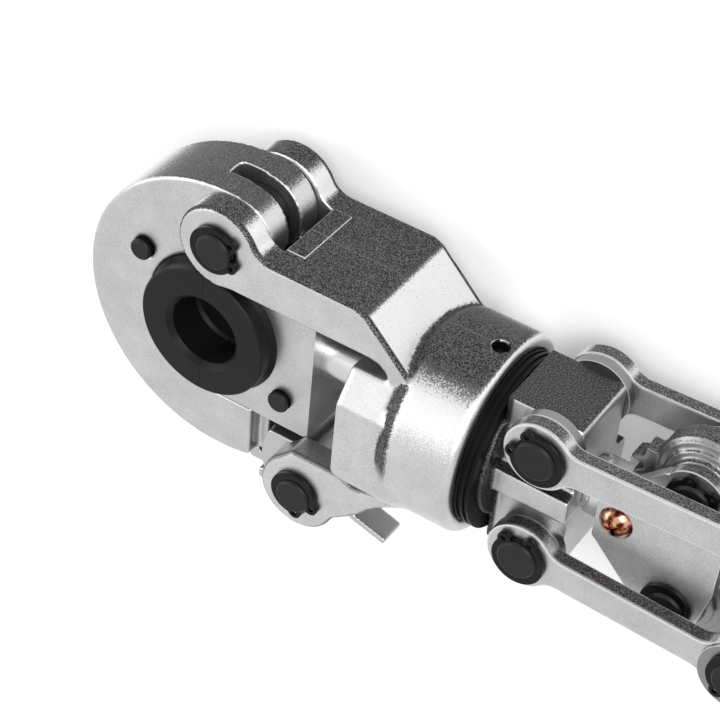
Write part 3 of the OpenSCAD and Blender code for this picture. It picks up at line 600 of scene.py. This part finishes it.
PLAIN_EDGE_MM = 0.2
EDGES_MM = {
    "die_slide": 0.4, "upper_near_link": 0.7, "upper_far_link": 0.7,
    "lower_near_link": 0.7, "lower_far_link": 0.7,
    "near_carrier_plate": 0.5, "far_carrier_plate": 0.5,
    "front_die": 0.35, "rear_die": 0.35, "ram": 0.3,
    "hinge_circlips": 0.15, "latch_circlips": 0.15, "fork_circlips": 0.15,
    "lever_pin_circlips": 0.15, "upper_crank_circlips": 0.15, "lower_crank_circlips": 0.15,
    "upper_grip": 0.6, "lower_grip": 0.6, "upper_end_cap": 0.8, "lower_end_cap": 0.8,
    "swivel_ring": 0.2, "carrier_screws": 0.15,
}
FINISHES = {
    "front_die": DIE_BLACK, "rear_die": DIE_BLACK, "swivel_ring": RING_BLACK,
    "fork_washers": DULL,
    "upper_crank_washers": DULL, "lower_crank_washers": DULL,
}
FINISHES.update({node: CLIP_BLACK for node in nodes if node.endswith("circlips")})
BUTTON_COIL = {"Coil radius": 3.35 * MM, "Wire radius": 0.4 * MM, "Turns": 6.0, "Height": 12.2 * MM}
LATCH_COIL = {"Coil radius": 6.5 * MM, "Wire radius": 0.75 * MM, "Turns": 2.75, "Height": 4.5 * MM}
SPRINGS = {
    "latch_spring": ((37.5, -38.4, -2.25), LATCH_COIL),
    "front_button_spring": ((-24.7, 15.4, -7.9), BUTTON_COIL),
    "rear_button_spring": ((24.7, -15.4, -7.9), BUTTON_COIL),
}

for node in nodes:
    if node in FORGINGS or node in SPRINGS:
        continue
    edged(node, EDGES_MM.get(node, PLAIN_EDGE_MM), FINISHES.get(node))
wound = coil_tree()
for node, (foot, sizes) in SPRINGS.items():
    coil(wound, node, foot, sizes)


# ---- Studio ----

def studio_floor():
    """White paper under the tool, lifted to white where the camera sees it."""
    size = 6.0
    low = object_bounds()[0][2]
    mesh = bpy.data.meshes.new("studio_floor")
    mesh.from_pydata([(-size, -size, low), (size, -size, low), (size, size, low), (-size, size, low)],
                     [], [(0, 1, 2, 3)])
    material = bpy.data.materials.new("studio_floor")
    material.use_nodes = True
    tree = material.node_tree
    tree.nodes.clear()
    out = tree.nodes.new("ShaderNodeOutputMaterial")
    paper = tree.nodes.new("ShaderNodeBsdfDiffuse")
    paper.inputs["Color"].default_value = (0.9, 0.9, 0.9, 1)
    lift = tree.nodes.new("ShaderNodeEmission")
    lift.inputs["Color"].default_value = (1, 1, 1, 1)
    seen = seen_directly(tree)
    tree.links.new(scaled(tree, seen, 0.26), lift.inputs["Strength"])
    both = tree.nodes.new("ShaderNodeAddShader")
    tree.links.new(paper.outputs[0], both.inputs[0])
    tree.links.new(lift.outputs[0], both.inputs[1])
    tree.links.new(both.outputs[0], out.inputs["Surface"])
    floor = place_piece("studio_floor", mesh, material)
    floor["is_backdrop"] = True


def seen_directly(tree):
    """1 for what the camera sees straight, in a mirror or through glass."""
    path = tree.nodes.new("ShaderNodeLightPath")
    mirrored = larger(tree, path.outputs["Is Camera Ray"], path.outputs["Is Glossy Ray"])
    return larger(tree, mirrored, path.outputs["Is Transmission Ray"])


def studio_world():
    """White all round: full strength to the camera and in mirrors, less as light."""
    world = bpy.data.worlds.new("studio")
    bpy.context.scene.world = world
    world.use_nodes = True
    tree = world.node_tree
    back = tree.nodes["Background"]
    back.inputs["Color"].default_value = (1, 1, 1, 1)
    tree.links.new(scaled(tree, seen_directly(tree), 0.45, 0.55), back.inputs["Strength"])


def softbox(name, place, target, size, power):
    data = bpy.data.lights.new(name, "AREA")
    data.shape = "RECTANGLE"
    data.size, data.size_y = size
    data.energy = power
    lamp = bpy.data.objects.new(name, data)
    bpy.context.scene.collection.objects.link(lamp)
    lamp.location = place
    aim = Vector(target) - Vector(place)
    lamp.rotation_euler = aim.to_track_quat("-Z", "Y").to_euler()


def photo_camera():
    """The photograph's camera: its axes and place in the part's frame, from solved points."""
    focal_px, picture_px = 2205.03, 720
    right = (0.8339, 0.0780, -0.5463)
    up = (-0.4123, 0.7462, -0.5228)
    back = (0.3669, 0.6612, 0.6544)
    shift = (-35.69, 16.42, -634.35)
    place = [-(right[i] * shift[0] + up[i] * shift[1] + back[i] * shift[2]) * MM for i in range(3)]
    data = bpy.data.cameras.new("photo_camera")
    data.sensor_width = 36.0
    data.lens = focal_px / picture_px * data.sensor_width
    data.clip_start = 0.01
    data.clip_end = 50
    camera = bpy.data.objects.new("photo_camera", data)
    bpy.context.scene.collection.objects.link(camera)
    camera.matrix_world = Matrix([(right[i], up[i], back[i], place[i]) for i in range(3)]
                                 + [(0, 0, 0, 1)])
    bpy.context.scene.camera = camera


studio_floor()
studio_world()
softbox("key", (0.7, 0.7, 0.9), (0.05, 0, 0), (0.7, 0.7), 9)
softbox("fill", (-0.9, 0.2, 0.8), (0.05, 0, 0), (0.8, 0.8), 5)
photo_camera()

scene = bpy.context.scene
scene.view_settings.view_transform = "Standard"
